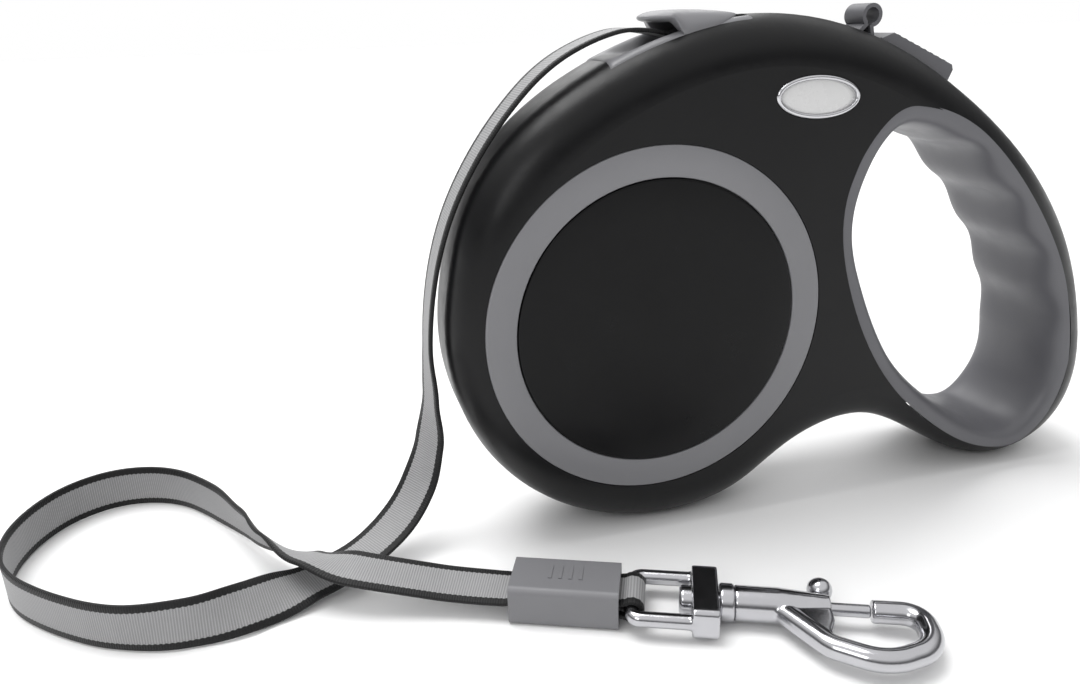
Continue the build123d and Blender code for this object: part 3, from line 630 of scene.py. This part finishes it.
def ribbon(name, points, ways, width, thickness, finish, body):
    """A flat tape with rounded edges along points; its map runs in millimetres along and across."""
    half, thin = width / 2, thickness / 2
    section = [(-1, 0.0), (-0.985, 0.7), (-0.95, 1), (-0.6, 0.92), (0, 0.88), (0.6, 0.92), (0.95, 1),
               (0.985, 0.7), (1, 0.0), (0.985, -0.7), (0.95, -1), (0.6, -0.92), (0, -0.88), (-0.6, -0.92),
               (-0.95, -1), (-0.985, -0.7)]
    n = len(section)
    verts, faces, marks = [], [], []
    run = 0.0
    for k, p in enumerate(points):
        if k:
            run += (p - points[k - 1]).length
        t = (points[min(k + 1, len(points) - 1)] - points[max(k - 1, 0)]).normalized()
        w = ways[k] - t * ways[k].dot(t)
        w.normalize()
        up = w.cross(t)
        for a, b in section:
            verts.append(p + w * (a * half) + up * (b * thin))
            marks.append((run / MM, (a + 1) * half / MM))
    for k in range(len(points) - 1):
        for j in range(n):
            i = (j + 1) % n
            faces.append((k * n + j, k * n + i, (k + 1) * n + i, (k + 1) * n + j))
    faces.append(tuple(range(n)))
    faces.append(tuple((len(points) - 1) * n + j for j in reversed(range(n))))
    piece = new_piece(name, verts, faces, finish, body)
    layer = piece.data.uv_layers.new(name="UVMap")
    for loop in piece.data.loops:
        layer.data[loop.index].uv = marks[loop.vertex_index]
    return piece


class LEASH_OT_tape(bpy.types.Operator):
    """Make the tape outside the casing and the loop sewn round the hook's bar"""
    bl_idname = "leash.tape"
    bl_label = "Tape"

    def execute(self, context):
        s = settings()
        finish = woven("woven_tape", tuple(s.tape_colour), tuple(s.binding_colour), s.tape_width)
        points = route_points()
        last = len(ROUTE) - 1
        ways = []
        for k in range(len(points)):
            t = k / (len(points) - 1) * (last - 1) + 0.5
            t = 0.0 if k == 0 else last if k == len(points) - 1 else t
            ways.append(edge_way(t))
        piece = ribbon("tape", points, ways, s.tape_width, s.tape_thickness, finish, "casing")
        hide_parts("tape_strand")
        end = self.sewn_loop(s, finish)
        return {"FINISHED"}

    def sewn_loop(self, s, finish):
        place = hook_place()
        wrap = 0.00188 + s.tape_thickness / 2
        gap = s.tape_thickness * 0.55
        line = [(-0.0235, gap), (-0.016, gap), (-0.010, gap), (-0.0065, gap * 1.1), (-0.0045, 0.0013)]
        for k in range(17):
            a = math.radians(130 - 260 * k / 16)
            line.append((wrap * math.cos(a), wrap * math.sin(a)))
        line += [(x, -z) for x, z in reversed(line[:5])]
        points = [place @ Vector((x, 0, z)) for x, z in line]
        ways = [place.to_3x3() @ Vector((0, 1, 0))] * len(points)
        piece = ribbon("tape_loop", points, ways, s.tape_width, s.tape_thickness, finish, "casing")
        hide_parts("tape_end_loop")
        return piece


class LEASH_OT_hook(bpy.types.Operator):
    """Finish the sleeve, swivel and bolt-snap hook"""
    bl_idname = "leash.hook"
    bl_label = "Sleeve and hook"

    def execute(self, context):
        s = settings()
        chrome = metal("hook_satin_chrome", s.steel_colour, 0.16)
        sleeve = moulded("sleeve_rubber", s.trim_colour, 0.45, grain=2200.0, grain_depth=0.00002,
                         spread=0.05)
        for node in ("swivel_frame", "swivel_stud", "swivel_collar", "hook_body", "trigger_bolt"):
            repaint(NODES[node], chrome)
        repaint(NODES["tape_sleeve"], sleeve)
        round_edges(NODES["tape_sleeve"], 0.0004)
        soften(NODES["hook_body"], 0.00028, 10)
        soften(NODES["swivel_frame"], 0.00028, 12)
        return {"FINISHED"}


def soften(obj, grid, rounds):
    """Cast look: corners between the piece's members blend into each other."""
    mod = obj.modifiers.new("cast skin", "REMESH")
    mod.mode = "VOXEL"
    mod.voxel_size = grid
    mod.use_smooth_shade = True
    mod = obj.modifiers.new("cast blend", "SMOOTH")
    mod.factor = 0.5
    mod.iterations = rounds


class LEASH_OT_stage(bpy.types.Operator):
    """Make the floor, lights and camera"""
    bl_idname = "leash.stage"
    bl_label = "Stage"

    def execute(self, context):
        scene = context.scene
        mat, shader = fresh_finish("pale_floor")
        cloud = noise(mat, 3.0)
        join(mat, two_tone(mat, cloud, (0.92, 0.92, 0.92), (0.94, 0.94, 0.94)), shader.inputs["Base Color"])
        shader.inputs["Roughness"].default_value = 0.45
        mesh = bpy.data.meshes.new("floor")
        size = 6.0
        corners = [(-size, -size, 0), (size, -size, 0), (size, size, 0), (-size, size, 0)]
        mesh.from_pydata(corners, [], [(0, 1, 2, 3)])
        floor = bpy.data.objects.new("floor", mesh)
        scene.collection.objects.link(floor)
        mesh.materials.append(mat)
        world = bpy.data.worlds.new("studio")
        scene.world = world
        world.use_nodes = True
        back = world.node_tree.nodes["Background"]
        back.inputs["Strength"].default_value = 0.8
        self.sky(world, back)
        self.sun()
        self.lamp("fill", (-0.6, -0.5, 0.5), (0, 0, 0.06), 0.3, 1.0)
        self.lamp("back", (0.1, 0.6, 0.5), (0, 0, 0.08), 0.5, 1.5)
        self.camera(scene)
        scene.view_settings.view_transform = "Standard"
        return {"FINISHED"}

    def sky(self, world, back):
        """A studio tent: white at the floor line and overhead, with a darker band between."""
        coords = add(world, "ShaderNodeTexCoord").outputs["Generated"]
        split = add(world, "ShaderNodeSeparateXYZ")
        join(world, coords, split.inputs[0])
        low = ranged(world, split.outputs[2], 1.0, 0.0, 0.06, 0.14)
        high = ranged(world, split.outputs[2], 0.0, 1.0, 0.3, 0.65)
        band = maths(world, "MAXIMUM", low, high)
        join(world, two_tone(world, band, (0.2, 0.2, 0.205), (1.25, 1.25, 1.25)), back.inputs["Color"])

    def sun(self):
        """One very soft overhead light, even over the whole floor."""
        data = bpy.data.lights.new("overhead", "SUN")
        data.energy = 1.9
        data.angle = math.radians(35)
        lamp = bpy.data.objects.new("overhead", data)
        lamp.rotation_euler = (math.radians(-12), math.radians(-16), 0)
        bpy.context.scene.collection.objects.link(lamp)

    def lamp(self, name, at, to, size, power):
        data = bpy.data.lights.new(name, "AREA")
        data.shape = "SQUARE"
        data.size = size
        data.energy = power
        lamp = bpy.data.objects.new(name, data)
        lamp.location = at
        lamp.rotation_euler = (Vector(to) - Vector(at)).to_track_quat("-Z", "Y").to_euler()
        bpy.context.scene.collection.objects.link(lamp)

    def camera(self, scene):
        data = bpy.data.cameras.new("camera")
        data.sensor_width = 36.0
        data.lens = 28.82
        cam = bpy.data.objects.new("camera", data)
        right, up, back = Vector((0.9617, -0.2724, -0.0295)), Vector((0.1211, 0.3260, 0.9376)), Vector(
            (-0.2458, -0.9053, 0.3465))
        turn = Matrix((right, up, back)).transposed().to_4x4()
        cam.matrix_world = Matrix.Translation((-0.1283, -0.2073, 0.1317)) @ turn
        scene.collection.objects.link(cam)
        scene.camera = cam


class LEASH_PT_panel(bpy.types.Panel):
    """Sizes, colours and pieces of the leash"""
    bl_label = "Tape Leash"
    bl_idname = "LEASH_PT_panel"
    bl_space_type = "VIEW_3D"
    bl_region_type = "UI"
    bl_category = "Tape Leash"

    def draw(self, context):
        col = self.layout.column()
        for key in LeashSettings.__annotations__:
            col.prop(context.scene.leash_settings, key)
        for operator in OPERATORS:
            col.operator(operator.bl_idname)


OPERATORS = (LEASH_OT_casing, LEASH_OT_side_covers, LEASH_OT_badge, LEASH_OT_grip, LEASH_OT_top_fittings,
             LEASH_OT_tape, LEASH_OT_hook, LEASH_OT_stage)
CLASSES = (LeashSettings,) + OPERATORS + (LEASH_PT_panel,)


def register():
    for cls in CLASSES:
        bpy.utils.register_class(cls)
    bpy.types.Scene.leash_settings = bpy.props.PointerProperty(type=LeashSettings)


def unregister():
    del bpy.types.Scene.leash_settings
    for cls in reversed(CLASSES):
        bpy.utils.unregister_class(cls)


def main():
    register()
    for operator in OPERATORS:
        group, name = operator.bl_idname.split(".")
        getattr(getattr(bpy.ops, group), name)()


if __name__ == "__main__":
    main()
